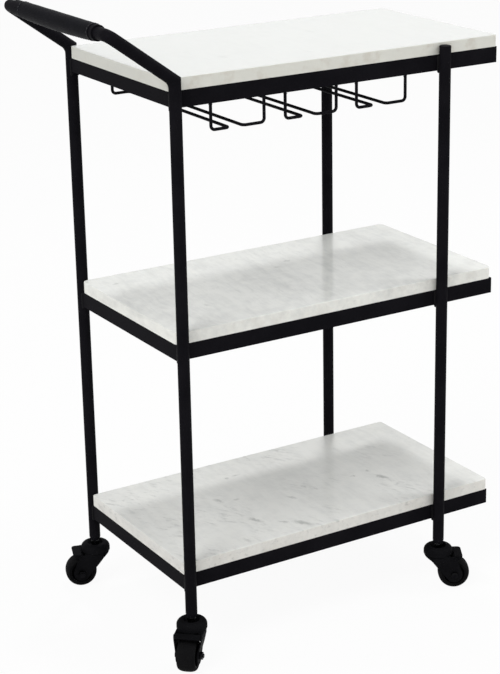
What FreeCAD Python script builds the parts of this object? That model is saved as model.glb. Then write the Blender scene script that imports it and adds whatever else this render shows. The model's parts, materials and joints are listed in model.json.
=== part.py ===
import FreeCAD, Part
import math
import os
import Sketcher

# Three-tier bar cart on swivel casters, in millimetres. +Z is up and the floor is at zero.
# +X runs along the shelves away from the push handle, and -Y is the front.
# The origin is on the floor under the middle of the overall length and width.

doc = FreeCAD.newDocument("bar_cart")
sizes = doc.addObject("Spreadsheet::Sheet", "sizes")

driving = {
    # Marble slabs
    "slab_length": 560,
    "slab_width": 298,
    "slab_thickness": 18,
    "slab_edge_radius": 1.5,
    "top_corner_radius": 4,
    "middle_corner_radius": 9,
    "bottom_corner_radius": 4,
    "top_surface_height": 879,
    "middle_surface_height": 516,
    "bottom_surface_height": 158,
    # Rolled angle rails
    "rail_height": 24,
    "top_side_rail_height": 20.5,
    "rail_flange": 24,
    "rail_wall": 3,
    "rail_root_radius": 2,
    # Legs
    "tube_diameter": 17.6,
    "tube_wall": 1.5,
    "left_leg_inset": 5,
    "right_leg_inset": 102.5,
    "right_leg_top_drop": 4,
    "plug_clearance": 0.05,
    "cap_thickness": 2.5,
    "cap_edge_radius": 1.5,
    "cap_plug_length": 8,
    "insert_taper_height": 5,
    "insert_tip_diameter": 14.5,
    "insert_plug_length": 16,
    # Push handle and grip
    "handle_reach": 91,
    "handle_rise": 68.5,
    "handle_kink_drop": 2,
    "handle_bend_radius": 9.5,
    "sleeve_wall": 2.4,
    "sleeve_length": 256,
    "leather_wall": 0.9,
    "leather_length": 222,
    "leather_shift": -8,
    # Stemware wires
    "wire_diameter": 4.6,
    "wire_drop": 37.5,
    "wire_bend_radius": 6,
    "channel_width": 86,
    "slot_width": 22.5,
    "slot_shift": -3,
    "channel_pitch": 121,
    "rack_shift": -2,
    # Caster wheel
    "wheel_diameter": 50,
    "wheel_width": 28,
    "tyre_thickness": 5.5,
    "tyre_shoulder_radius": 5,
    "hub_rim_width": 26,
    "hub_rim_thickness": 3,
    "hub_web_thickness": 6,
    "hub_boss_diameter": 16,
    "hub_side_clearance": 0.3,
    "axle_diameter": 6,
    "running_clearance": 0.05,
    "bolt_head_diameter": 11,
    "bolt_head_height": 3,
    "bolt_end_length": 1.5,
    "nut_width": 10,
    "nut_height": 5,
    # Caster swivel
    "caster_trail": 25,
    "swivel_front_left": -133,
    "swivel_back_left": 160,
    "swivel_front_right": -30,
    "swivel_back_right": 133,
    "swivel_clearance": 0.3,
    "stem_diameter": 8,
    "stem_length": 20,
    "stem_hex_width": 13,
    "stem_hex_height": 6,
    "stem_shoulder_diameter": 12,
    "stem_shoulder_height": 3.4,
    "king_pin_head_diameter": 15,
    "king_pin_head_height": 2,
    "dome_diameter": 46,
    "dome_height": 12.8,
    "dome_wall": 1.8,
    "dome_round_radius": 8,
    "dome_recess_diameter": 19,
    "dome_recess_depth": 4.5,
    "dome_recess_flare": 3,
    "ball_count": 7,
    "ball_play": 0.3,
    "ball_pin_clearance": 1.2,
    # Caster fork
    "fork_bridge_thickness": 2.5,
    "fork_wall": 2.2,
    "fork_upper_width": 43,
    "fork_lower_width": 34,
    "fork_shoulder_height": 50,
    "fork_waist_height": 30,
    "fork_corner_cut": 1.2,
    "fork_skirt": 3,
    "fork_lead_drop": 1.7,
    "fork_knee_lead": 15.5,
    "fork_knee_drop": 5.4,
    "fork_knee_radius": 15,
    "fork_end_radius": 13,
    "fork_ear_length": 29.5,
    "fork_ear_height": 50,
    "fork_ear_rise": 0.8,
    "fork_pedal_slot_start": 18.5,
    # Brake pedal
    "pedal_pin_trail": 24.5,
    "pedal_pin_drop": 3.5,
    "pedal_pin_diameter": 3.2,
    "pedal_pin_head": 0.8,
    "pedal_hub_diameter": 6.4,
    "pedal_tyre_gap": 1.3,
    "pedal_width": 37.6,
    "pedal_corner_radius": 5.5,
    "pedal_wall": 1.6,
    "pedal_back": 0.6,
    "pedal_top_rise": 4.2,
    "pedal_back_slope": 0.8,
    "pedal_reach": 13.2,
    "pedal_nose_height": 2.2,
    "pedal_shoe_reach": 7.5,
    "pedal_shoe_length": 2,
    "pedal_shoe_drop": 2.6,
    "pedal_nose_radius": 1,
}

derived = {
    # Handle and overall length set where the middle of the shelves stands
    "tube_radius": "=tube_diameter / 2",
    "tube_bore": "=tube_radius - tube_wall",
    "sleeve_radius": "=tube_radius + sleeve_wall",
    "leather_radius": "=sleeve_radius + leather_wall",
    "shelf_x": "=(handle_reach + leather_radius) / 2",
    "slab_half_length": "=slab_length / 2",
    "slab_half_width": "=slab_width / 2",
    "top_seat": "=top_surface_height - slab_thickness",
    "middle_seat": "=middle_surface_height - slab_thickness",
    "bottom_seat": "=bottom_surface_height - slab_thickness",
    "front_y": "=-slab_half_width",
    "back_y": "=slab_half_width",
    "left_x": "=shelf_x - slab_half_length",
    "right_x": "=shelf_x + slab_half_length",
    # The pedal clears the tyre, the fork's top stands above its pin, and the leg ends above the swivel
    "pedal_hub_radius": "=pedal_hub_diameter / 2",
    "pin_height": "=wheel_diameter + pedal_tyre_gap + pedal_hub_radius",
    "fork_top_height": "=pin_height + pedal_pin_drop",
    "dome_base": "=fork_top_height + swivel_clearance",
    "dome_top": "=dome_base + dome_height",
    "recess_floor": "=dome_top - dome_recess_depth",
    "hex_base": "=recess_floor + stem_shoulder_height",
    "foot_height": "=hex_base + stem_hex_height",
    # Legs stand against the outer faces of the long rails
    "leg_y": "=slab_half_width + tube_radius",
    "left_leg_x": "=left_x + left_leg_inset",
    "right_leg_x": "=right_x - right_leg_inset",
    "tube_foot": "=foot_height + insert_taper_height",
    "right_tube_top": "=top_surface_height - right_leg_top_drop - cap_thickness",
    "right_tube_length": "=right_tube_top - tube_foot",
    "plug_radius": "=tube_bore - plug_clearance",
    "insert_tip_radius": "=insert_tip_diameter / 2",
    "insert_top": "=tube_foot + insert_plug_length",
    "stem_radius": "=stem_diameter / 2",
    "thread_bore": "=stem_radius + plug_clearance",
    # Arms leave the left legs at a mitred kink and rise to the bar
    "kink_height": "=top_surface_height - handle_kink_drop",
    "bar_height": "=top_surface_height + handle_rise",
    "bar_x": "=left_x - handle_reach",
    "arm_run": "=left_leg_x - bar_x",
    "arm_lift": "=bar_height - kink_height",
    "arm_length": "=sqrt(arm_run^2 + arm_lift^2)",
    "arm_angle": "=atan2(arm_lift; arm_run) / 1 deg",
    "arm_cosine": "=arm_run / arm_length",
    "arm_sine": "=arm_lift / arm_length",
    "mitre_run": "=2 * tube_diameter * (1 + arm_sine)",
    "mitre_lift": "=2 * tube_diameter * arm_cosine",
    "left_tube_length": "=kink_height - tube_foot + 2 * tube_diameter",
    "mitre_level": "=kink_height - tube_foot",
    "mitre_slope": "=arm_cosine / (1 + arm_sine)",
    "arm_stub": "=arm_length + tube_diameter",
    "arm_straight": "=leg_y - handle_bend_radius",
    "mitre_reach": "=2 * tube_diameter",
    "mitre_reach_rise": "=2 * tube_diameter * mitre_slope",
    "mitre_arm_near": "=arm_length - mitre_reach_rise",
    "mitre_arm_far": "=arm_length + mitre_reach_rise",
    "mitre_arm_end": "=arm_length + 4 * tube_diameter",
    "sleeve_y": "=-sleeve_length / 2",
    "leather_y": "=leather_shift - leather_length / 2",
    # Stemware wires hang from the lower edges of the long rails
    "wire_radius": "=wire_diameter / 2",
    "wire_y": "=slab_half_width - rail_wall / 2",
    "wire_top": "=top_seat - rail_height",
    "rack_x": "=(left_leg_x + right_leg_x) / 2 + rack_shift",
    # Wheel
    "wheel_radius": "=wheel_diameter / 2",
    "wheel_half": "=wheel_width / 2",
    "rim_outer": "=wheel_radius - tyre_thickness",
    "rim_inner": "=rim_outer - hub_rim_thickness",
    "rim_half": "=hub_rim_width / 2",
    "web_half": "=hub_web_thickness / 2",
    "boss_radius": "=hub_boss_diameter / 2",
    "axle_radius": "=axle_diameter / 2",
    "axle_bore": "=axle_radius + running_clearance",
    "fork_lower_outer": "=fork_lower_width / 2",
    "fork_lower_inner": "=fork_lower_outer - fork_wall",
    "boss_half": "=fork_lower_inner - hub_side_clearance",
    "head_radius": "=bolt_head_diameter / 2",
    "head_face": "=fork_lower_outer + bolt_head_height",
    "bolt_end": "=fork_lower_outer + nut_height + bolt_end_length",
    "nut_corner": "=nut_width / sqrt(3)",
    "nut_half_corner": "=nut_corner / 2",
    "nut_half": "=nut_width / 2",
    "nut_bore": "=axle_radius + plug_clearance",
    # Fork
    "fork_upper_outer": "=fork_upper_width / 2",
    "fork_upper_inner": "=fork_upper_outer - fork_wall",
    "bridge_underside": "=fork_top_height - fork_bridge_thickness",
    "fork_pedal_slot_width": "=2 * fork_upper_inner",
    "fork_front": "=fork_upper_outer + fork_skirt",
    "fork_lead_height": "=fork_top_height - fork_lead_drop",
    "fork_knee_height": "=fork_top_height - fork_knee_drop",
    "fork_ear_top": "=pin_height + fork_ear_rise",
    "fork_blank_length": "=caster_trail + 2 * fork_end_radius",
    "king_bore": "=stem_radius + running_clearance",
    "cut_reach": "=fork_top_height + fork_upper_width",
    # Dome and stem
    "dome_radius": "=dome_diameter / 2",
    "dome_inner": "=dome_radius - dome_wall",
    "dome_underside": "=dome_top - dome_wall",
    "recess_radius": "=dome_recess_diameter / 2",
    "recess_mouth": "=recess_radius + dome_recess_flare",
    "recess_underside": "=recess_floor - dome_wall",
    "recess_back": "=recess_radius + dome_wall",
    "mouth_back": "=recess_mouth + dome_wall",
    "dome_inner_round": "=dome_round_radius - dome_wall",
    "shoulder_radius": "=stem_shoulder_diameter / 2",
    "hex_corner": "=stem_hex_width / sqrt(3)",
    "hex_half_corner": "=hex_corner / 2",
    "hex_half": "=stem_hex_width / 2",
    "stem_top": "=foot_height + stem_length",
    "ball_level": "=(fork_top_height + recess_underside) / 2",
    "ball_radius": "=(recess_underside - fork_top_height) / 2 - ball_play",
    "ball_circle": "=stem_radius + ball_pin_clearance + ball_radius",
    "king_head_radius": "=king_pin_head_diameter / 2",
    "king_head_top": "=bridge_underside - swivel_clearance",
    "king_head_base": "=king_head_top - king_pin_head_height",
    # Brake pedal
    "pin_radius": "=pedal_pin_diameter / 2",
    "pin_bore": "=pin_radius + running_clearance",
    "pin_length": "=fork_upper_width + 2 * pedal_pin_head",
    "pedal_hollow_width": "=pedal_width - 2 * pedal_wall",
    "pedal_back_x": "=pedal_pin_trail - pedal_back",
    "pedal_top": "=pin_height + pedal_top_rise",
    "pedal_back_top": "=pedal_top - pedal_back_slope",
    "pedal_back_corner": "=pedal_back_x + pedal_back_slope",
    "pedal_tip": "=pedal_pin_trail + pedal_reach",
    "pedal_nose": "=pedal_top - pedal_nose_height",
    "shoe_height": "=pin_height - pedal_shoe_drop",
    "shoe_end": "=pedal_pin_trail + pedal_shoe_reach",
    "shoe_start": "=shoe_end - pedal_shoe_length",
    "hollow_start": "=pedal_pin_trail + pedal_hub_radius",
    "hollow_top": "=pedal_top - pedal_wall",
    "hollow_tip": "=pedal_tip - 2 * pedal_wall",
    "hollow_floor": "=shoe_height - pedal_wall",
}


def fill_sheet():
    for row, (alias, content) in enumerate([*driving.items(), *derived.items()], start=1):
        sizes.set("A%d" % row, alias)
        sizes.set("B%d" % row, str(content))
        sizes.setAlias("B%d" % row, alias)
    doc.recompute()


# A place is written as a sum of the sheet's names, such as "kink_height - tube_foot".
def is_name(word):
    return word not in "+-" and word != "0"


def number(place):
    total = 0.0
    sign = 1.0
    for word in place.split():
        if word in "+-":
            sign = -1.0 if word == "-" else 1.0
        elif is_name(word):
            total += sign * float(sizes.get(word))
    return total


def bound(place):
    return " ".join("sizes." + word if is_name(word) else word for word in place.split())


def opposite(place):
    swap = {"+": "-", "-": "+"}
    words = place.split()
    signed = words if words[0] in swap else ["+", *words]
    return " ".join(swap.get(word, word) for word in signed).removeprefix("+ ")


# Bodies, sketches and features
def new_body(label):
    body = doc.addObject("PartDesign::Body", label)
    body.Label = label
    return body


def new_sketch(body, role, offset=("0", "0", "0")):
    sketch = body.newObject("Sketcher::SketchObject", body.Name + "_sketch")
    support = [plane for plane in body.Origin.OriginFeatures if plane.Role == role]
    sketch.AttachmentSupport = [(support[0], "")]
    sketch.MapMode = "FlatFace"
    for axis, place in zip("xyz", offset):
        if place != "0":
            sketch.setExpression("AttachmentOffset.Base." + axis, bound(place))
    return sketch


def bind_constraint(sketch, constraint, place):
    index = sketch.addConstraint(constraint)
    sketch.setExpression("Constraints[%d]" % index, bound(place))


def fix_point(sketch, item, end, x, y):
    horizontal_axis, vertical_axis = -1, -2
    for kind, place, axis in (("DistanceX", x, vertical_axis), ("DistanceY", y, horizontal_axis)):
        if place == "0":
            sketch.addConstraint(Sketcher.Constraint("PointOnObject", item, end, axis))
        else:
            bind_constraint(sketch, Sketcher.Constraint(kind, -1, 1, item, end, number(place)), place)


def draw_polygon(sketch, corners):
    points = [FreeCAD.Vector(number(x), number(y), 0) for x, y in corners]
    first = sketch.GeometryCount
    count = len(corners)
    for i in range(count):
        sketch.addGeometry(Part.LineSegment(points[i], points[(i + 1) % count]))
    for i in range(count):
        sketch.addConstraint(Sketcher.Constraint("Coincident", first + i, 2, first + (i + 1) % count, 1))
    for i, (x, y) in enumerate(corners):
        fix_point(sketch, first + i, 1, x, y)


def draw_circle(sketch, radius, x="0", y="0"):
    centre = FreeCAD.Vector(number(x), number(y), 0)
    item = sketch.addGeometry(Part.Circle(centre, FreeCAD.Vector(0, 0, 1), number(radius)))
    bind_constraint(sketch, Sketcher.Constraint("Radius", item, number(radius)), radius)
    fix_point(sketch, item, 3, x, y)


def draw_hexagon(sketch, corner, half_corner, half_width):
    draw_polygon(sketch, [
        (corner, "0"), (half_corner, half_width), (opposite(half_corner), half_width),
        (opposite(corner), "0"), (opposite(half_corner), opposite(half_width)),
        (half_corner, opposite(half_width))])


def mirrored(corners):
    return [(opposite(x), y) for x, y in corners]


def add_pad(body, sketch, length, symmetric=False, reverse=False):
    pad = body.newObject("PartDesign::Pad", body.Name + "_pad")
    pad.Profile = sketch
    pad.SideType = "Symmetric" if symmetric else "One side"
    pad.Reversed = reverse
    pad.setExpression("Length", bound(length))
    return pad


def add_revolution(body, sketch, angle=360):
    turned = body.newObject("PartDesign::Revolution", body.Name + "_turned")
    turned.Profile = sketch
    turned.ReferenceAxis = (sketch, ["V_Axis"])
    turned.Angle = angle
    return turned


def check_cut(body, before):
    doc.recompute()
    if body.Shape.Volume >= before:
        raise RuntimeError(body.Label + ": a cut removes nothing")


def add_pocket(body, sketch, width=None, ahead=False):
    doc.recompute()
    before = body.Shape.Volume
    pocket = body.newObject("PartDesign::Pocket", body.Name + "_pocket")
    pocket.Profile = sketch
    pocket.SideType = "One side" if ahead else "Symmetric"
    pocket.Reversed = ahead
    if width is None:
        pocket.Type = "ThroughAll"
    else:
        pocket.setExpression("Length", bound(width))
    check_cut(body, before)
    return pocket


def add_groove(body, sketch, angle):
    doc.recompute()
    before = body.Shape.Volume
    groove = body.newObject("PartDesign::Groove", body.Name + "_groove")
    groove.Profile = sketch
    groove.ReferenceAxis = (sketch, ["V_Axis"])
    groove.Angle = angle
    check_cut(body, before)
    return groove


def add_fillet(body, radius, chosen):
    doc.recompute()
    base = body.Tip
    names = ["Edge%d" % (i + 1) for i, edge in enumerate(base.Shape.Edges) if chosen(edge)]
    fillet = body.newObject("PartDesign::Fillet", body.Name + "_fillet")
    fillet.Base = (base, names)
    fillet.setExpression("Radius", bound(radius))
    return fillet


def near(first, second):
    return abs(first - second) < 1e-4


def is_upright(edge):
    first, last = edge.Vertexes[0].Point, edge.Vertexes[-1].Point
    return near(first.x, last.x) and near(first.y, last.y) and not near(first.z, last.z)


def lies_at_height(edge, height):
    return all(near(corner.Z, height) for corner in edge.Vertexes)


def is_ring(edge, radius):
    return isinstance(edge.Curve, Part.Circle) and near(edge.Curve.Radius, radius)


def place_piece(piece, x="0", y="0", z="0", turn=None):
    for axis, place in zip("xyz", (x, y, z)):
        if place != "0":
            piece.setExpression("Placement.Base." + axis, bound(place))
    if turn:
        piece.setExpression("Placement.Rotation.Angle", bound(turn))


# Marble slabs with eased upper edges
def make_slab(tier):
    slab = new_body(tier + "_slab")
    outline = new_sketch(slab, "XY_Plane")
    draw_polygon(outline, [
        ("- slab_half_length", "- slab_half_width"), ("slab_half_length", "- slab_half_width"),
        ("slab_half_length", "slab_half_width"), ("- slab_half_length", "slab_half_width")])
    add_pad(slab, outline, "slab_thickness")
    add_fillet(slab, tier + "_corner_radius", is_upright)
    thickness = number("slab_thickness")
    add_fillet(slab, "slab_edge_radius", lambda edge: lies_at_height(edge, thickness))
    place_piece(slab, "shelf_x", "0", tier + "_seat")
    return slab


# Rolled angle: one flange upright at the outside, one level under the slab, ends mitred
def make_rail(label, half_length, height, x, y, z, quarter_turns):
    rail = new_body(label)
    section = new_sketch(rail, "YZ_Plane")
    draw_polygon(section, [
        ("0", "0"), ("rail_flange", "0"), ("rail_flange", "- rail_wall"), ("rail_wall", "- rail_wall"),
        ("rail_wall", opposite(height)), ("0", opposite(height))])
    add_pad(rail, section, half_length + " + " + half_length, symmetric=True)
    wall = number("rail_wall")
    add_fillet(rail, "rail_root_radius", lambda edge: all(
        near(corner.Y, wall) and near(corner.Z, -wall) for corner in edge.Vertexes))
    mitres = new_sketch(rail, "XY_Plane")
    corner = [
        (half_length, "0"), (half_length, "rail_flange"), (half_length + " - rail_flange", "rail_flange")]
    draw_polygon(mitres, corner)
    draw_polygon(mitres, mirrored(corner))
    add_pocket(rail, mitres)
    rail.Placement.Rotation = FreeCAD.Rotation(FreeCAD.Vector(0, 0, 1), 90 * quarter_turns)
    place_piece(rail, x, y, z)
    return rail


def make_tier_frame(tier):
    seat = tier + "_seat"
    side_height = "top_side_rail_height" if tier == "top" else "rail_height"
    return [
        make_rail(tier + "_front_rail", "slab_half_length", "rail_height", "shelf_x", "front_y", seat, 0),
        make_rail(tier + "_right_rail", "slab_half_width", side_height, "right_x", "0", seat, 1),
        make_rail(tier + "_back_rail", "slab_half_length", "rail_height", "shelf_x", "back_y", seat, 2),
        make_rail(tier + "_left_rail", "slab_half_width", side_height, "left_x", "0", seat, 3)]


# Legs of round tube; the left pair is cut on a mitre where the handle's arms begin
def make_leg(label, x, y, length):
    leg = new_body(label)
    section = new_sketch(leg, "XY_Plane")
    draw_circle(section, "tube_radius")
    draw_circle(section, "tube_bore")
    add_pad(leg, section, length)
    place_piece(leg, x, y, "tube_foot")
    return leg


def make_mitred_leg(label, x, y):
    leg = make_leg(label, x, y, "left_tube_length")
    mitre = new_sketch(leg, "XZ_Plane")
    draw_polygon(mitre, [
        ("mitre_run", "mitre_level + mitre_lift"), ("- mitre_run", "mitre_level - mitre_lift"),
        ("- mitre_run - mitre_lift", "mitre_level - mitre_lift + mitre_run"),
        ("mitre_run - mitre_lift", "mitre_level + mitre_lift + mitre_run")])
    add_pocket(leg, mitre)
    return leg


# Handle: a tube bent in its own sloping plane, with the bar along Y and an arm at each end.
# In that plane X runs from the bar down the arms to the kinks.
def make_handle():
    handle = new_body("handle_tube")
    path = new_sketch(handle, "XY_Plane")
    arm = number("arm_stub")
    half = number("leg_y")
    bend = number("handle_bend_radius")
    at = FreeCAD.Vector
    up = at(0, 0, 1)
    path.addGeometry([
        Part.LineSegment(at(arm, -half, 0), at(bend, -half, 0)),
        Part.ArcOfCircle(Part.Circle(at(bend, bend - half, 0), up, bend), math.pi, 1.5 * math.pi),
        Part.LineSegment(at(0, bend - half, 0), at(0, half - bend, 0)),
        Part.ArcOfCircle(Part.Circle(at(bend, half - bend, 0), up, bend), 0.5 * math.pi, math.pi),
        Part.LineSegment(at(bend, half, 0), at(arm, half, 0))])
    near_arm, near_bend, bar, far_bend, far_arm = range(5)
    for first, second in (((near_arm, 2), (near_bend, 2)), ((near_bend, 1), (bar, 1)),
                          ((bar, 2), (far_bend, 2)), ((far_bend, 1), (far_arm, 1))):
        path.addConstraint(Sketcher.Constraint("Coincident", *first, *second))
    fix_point(path, near_arm, 1, "arm_stub", "- leg_y")
    fix_point(path, near_arm, 2, "handle_bend_radius", "- leg_y")
    fix_point(path, bar, 1, "0", "- arm_straight")
    fix_point(path, bar, 2, "0", "arm_straight")
    fix_point(path, far_arm, 1, "handle_bend_radius", "leg_y")
    fix_point(path, far_arm, 2, "arm_stub", "leg_y")
    for bend_item in (near_bend, far_bend):
        bind_constraint(path, Sketcher.Constraint("Radius", bend_item, bend), "handle_bend_radius")

    section = new_sketch(handle, "YZ_Plane", ("0", "0", "arm_stub"))
    draw_circle(section, "tube_radius", "- leg_y", "0")
    draw_circle(section, "tube_bore", "- leg_y", "0")
    tube = handle.newObject("PartDesign::AdditivePipe", "handle_sweep")
    tube.Profile = section
    tube.Spine = (path, ["Edge%d" % (i + 1) for i in range(5)])

    mitre = new_sketch(handle, "XZ_Plane")
    draw_polygon(mitre, [
        ("mitre_arm_far", "mitre_reach"), ("mitre_arm_near", "- mitre_reach"),
        ("mitre_arm_end", "- mitre_reach"), ("mitre_arm_end", "mitre_reach")])
    add_pocket(handle, mitre)
    handle.Placement.Rotation = FreeCAD.Rotation(FreeCAD.Vector(0, 1, 0), number("arm_angle"))
    place_piece(handle, "bar_x", "0", "bar_height", "arm_angle")
    return handle


def make_ring_along_bar(label, outer, inner, length, y):
    ring = new_body(label)
    section = new_sketch(ring, "XZ_Plane")
    draw_circle(section, outer)
    draw_circle(section, inner)
    add_pad(ring, section, length, reverse=True)
    place_piece(ring, "bar_x", y, "bar_height")
    return ring


# Plugs in the ends of the legs
def turn_piece(label, corners):
    piece = new_body(label)
    section = new_sketch(piece, "XZ_Plane")
    draw_polygon(section, corners)
    add_revolution(piece, section)
    return piece


def make_leg_cap(label, y):
    cap = turn_piece(label, [
        ("0", "- cap_plug_length"), ("plug_radius", "- cap_plug_length"), ("plug_radius", "0"),
        ("tube_radius", "0"), ("tube_radius", "cap_thickness"), ("0", "cap_thickness")])
    thickness = number("cap_thickness")
    add_fillet(cap, "cap_edge_radius", lambda edge: lies_at_height(edge, thickness))
    place_piece(cap, "right_leg_x", y, "right_tube_top")
    return cap


def make_leg_insert(label, x, y):
    insert = turn_piece(label, [
        ("thread_bore", "foot_height"), ("insert_tip_radius", "foot_height"), ("tube_radius", "tube_foot"),
        ("plug_radius", "tube_foot"), ("plug_radius", "insert_top"), ("thread_bore", "insert_top")])
    place_piece(insert, x, y)
    return insert


def make_group(label, pieces):
    group = doc.addObject("Part::Compound", label)
    group.Label = label
    group.Links = pieces
    return group


# Stemware wire: down from the front rail, sideways to its slot, back under the shelf and up again
def rounded_path(points, radius):
    edges = []
    start = points[0]
    for before, corner, after in zip(points, points[1:], points[2:]):
        back = (before - corner).normalize()
        ahead = (after - corner).normalize()
        inward = (back + ahead).normalize()
        arc_start = corner + back * radius
        arc_end = corner + ahead * radius
        arc_middle = corner + inward * radius * (math.sqrt(2) - 1)
        edges.append(Part.LineSegment(start, arc_start).toShape())
        edges.append(Part.Arc(arc_start, arc_middle, arc_end).toShape())
        start = arc_end
    edges.append(Part.LineSegment(start, points[-1]).toShape())
    return Part.Wire(edges)


def make_stem_wire(label, channel, side):
    middle = number("rack_x") + channel * number("channel_pitch")
    post_x = middle + side * number("channel_width") / 2
    slot_x = middle + number("slot_shift") + side * number("slot_width") / 2
    top = number("wire_top")
    low = top - number("wire_drop")
    front = -number("wire_y")
    back = number("wire_y")
    path = rounded_path([
        FreeCAD.Vector(post_x, front, top), FreeCAD.Vector(post_x, front, low),
        FreeCAD.Vector(slot_x, front, low), FreeCAD.Vector(slot_x, back, low),
        FreeCAD.Vector(post_x, back, low), FreeCAD.Vector(post_x, back, top)], number("wire_bend_radius"))
    start = FreeCAD.Vector(post_x, front, top)
    section = Part.Wire([Part.makeCircle(number("wire_radius"), start, FreeCAD.Vector(0, 0, -1))])
    wire = doc.addObject("Part::Feature", label)
    wire.Label = label
    wire.Shape = path.makePipeShell([section], True, False)
    return wire


# Casters, each drawn with its king pin on Z and its wheel trailing towards +X
def make_stem(corner, x, y):
    stem = turn_piece("caster_stem_" + corner, [
        ("0", "king_head_base"), ("king_head_radius", "king_head_base"),
        ("king_head_radius", "king_head_top"), ("stem_radius", "king_head_top"),
        ("stem_radius", "recess_floor"), ("shoulder_radius", "recess_floor"),
        ("shoulder_radius", "hex_base"), ("stem_radius", "hex_base"),
        ("stem_radius", "stem_top"), ("0", "stem_top")])
    hexagon = new_sketch(stem, "XY_Plane", ("0", "0", "hex_base"))
    draw_hexagon(hexagon, "hex_corner", "hex_half_corner", "hex_half")
    add_pad(stem, hexagon, "stem_hex_height")
    place_piece(stem, x, y)
    return stem


def make_dome(corner, x, y):
    dome = turn_piece("caster_dome_" + corner, [
        ("thread_bore", "recess_underside"), ("recess_back", "recess_underside"),
        ("mouth_back", "dome_underside"), ("dome_inner", "dome_underside"), ("dome_inner", "dome_base"),
        ("dome_radius", "dome_base"), ("dome_radius", "dome_top"), ("recess_mouth", "dome_top"),
        ("recess_radius", "recess_floor"), ("thread_bore", "recess_floor")])
    rounds = (("dome_round_radius", "dome_radius", "dome_top"),
              ("dome_inner_round", "dome_inner", "dome_underside"))
    for round_radius, ring, height in rounds:
        ring_radius, level = number(ring), number(height)
        add_fillet(dome, round_radius, lambda edge: (
            is_ring(edge, ring_radius) and lies_at_height(edge, level)))
    place_piece(dome, x, y)
    return dome


# Swivel bearing: loose balls between the fork's crown and the dome
def make_balls(corner, x, y):
    balls = []
    for step in range(int(sizes.get("ball_count"))):
        turn = "(360 deg * %d / sizes.ball_count)" % step
        ball = doc.addObject("Part::Sphere", "ball_" + corner)
        ball.setExpression("Radius", bound("ball_radius"))
        ball.setExpression("Placement.Base.x", bound(x) + " + sizes.ball_circle * cos" + turn)
        ball.setExpression("Placement.Base.y", bound(y) + " + sizes.ball_circle * sin" + turn)
        ball.setExpression("Placement.Base.z", bound("ball_level"))
        balls.append(ball)
    return balls


# Side view of the fork: the skirt under the crown, a hollow knee, the leading edge, the rounded end at
# the axle, the trailing edge, the ear and its slope up to the crown, open above the crown
def draw_fork_outline(sketch):
    at = FreeCAD.Vector
    axle = at(number("caster_trail"), number("wheel_radius"), 0)
    radius = number("fork_end_radius")
    knee_radius = number("fork_knee_radius")
    above = "fork_top_height + fork_bridge_thickness"
    front = at(-number("fork_front"), number("fork_lead_height"), 0)
    knee = at(-number("fork_knee_lead"), number("fork_knee_height"), 0)
    ear = at(number("fork_ear_length"), number("fork_ear_height"), 0)
    ear_top = at(ear.x, number("fork_ear_top"), 0)
    slope_top = at(number("fork_pedal_slot_start"), number(above), 0)
    front_top = at(front.x, number(above), 0)

    def along(angle):
        return at(math.cos(angle), math.sin(angle), 0)

    skirt = knee - front
    knee_start = math.atan2(skirt.x, -skirt.y)
    knee_centre = knee - along(knee_start) * knee_radius
    across = axle - knee_centre
    lead = math.atan2(across.y, across.x) - math.acos(-(radius + knee_radius) / across.Length)
    knee_end = lead + math.pi
    towards = ear - axle
    trail = math.atan2(towards.y, towards.x) - math.acos(radius / towards.Length)

    lead_touch = axle + along(lead) * radius
    knee_touch = knee_centre + along(knee_end) * knee_radius
    trail_touch = axle + along(trail) * radius
    up = at(0, 0, 1)
    sketch.addGeometry([
        Part.LineSegment(front, knee),
        Part.ArcOfCircle(Part.Circle(knee_centre, up, knee_radius), knee_end, knee_start),
        Part.LineSegment(knee_touch, lead_touch),
        Part.ArcOfCircle(Part.Circle(axle, up, radius), lead, trail),
        Part.LineSegment(trail_touch, ear),
        Part.LineSegment(ear, ear_top),
        Part.LineSegment(ear_top, slope_top),
        Part.LineSegment(slope_top, front_top),
        Part.LineSegment(front_top, front)])
    (skirt_edge, hollow_knee, leading_edge, rounded_end, trailing_edge, ear_edge, slope_edge, top_edge,
     front_edge) = range(9)
    for first, second in (((skirt_edge, 2), (hollow_knee, 2)), ((hollow_knee, 1), (leading_edge, 1)),
                          ((leading_edge, 2), (rounded_end, 1)), ((rounded_end, 2), (trailing_edge, 1))):
        sketch.addConstraint(Sketcher.Constraint("Tangent", *first, *second))
    for first, second in ((trailing_edge, ear_edge), (ear_edge, slope_edge), (slope_edge, top_edge),
                          (top_edge, front_edge), (front_edge, skirt_edge)):
        sketch.addConstraint(Sketcher.Constraint("Coincident", first, 2, second, 1))
    bind_constraint(sketch, Sketcher.Constraint("Radius", hollow_knee, knee_radius), "fork_knee_radius")
    bind_constraint(sketch, Sketcher.Constraint("Radius", rounded_end, radius), "fork_end_radius")
    fix_point(sketch, rounded_end, 3, "caster_trail", "wheel_radius")
    fix_point(sketch, skirt_edge, 1, "- fork_front", "fork_lead_height")
    fix_point(sketch, skirt_edge, 2, "- fork_knee_lead", "fork_knee_height")
    fix_point(sketch, ear_edge, 1, "fork_ear_length", "fork_ear_height")
    fix_point(sketch, ear_edge, 2, "fork_ear_length", "fork_ear_top")
    fix_point(sketch, slope_edge, 2, "fork_pedal_slot_start", above)
    fix_point(sketch, top_edge, 2, "- fork_front", above)


# One upright half section, turned about the king pin for the round front and run back for the flanks
def whole_section(half):
    side = half[1:-1]
    return side + mirrored(side)[::-1]


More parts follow.
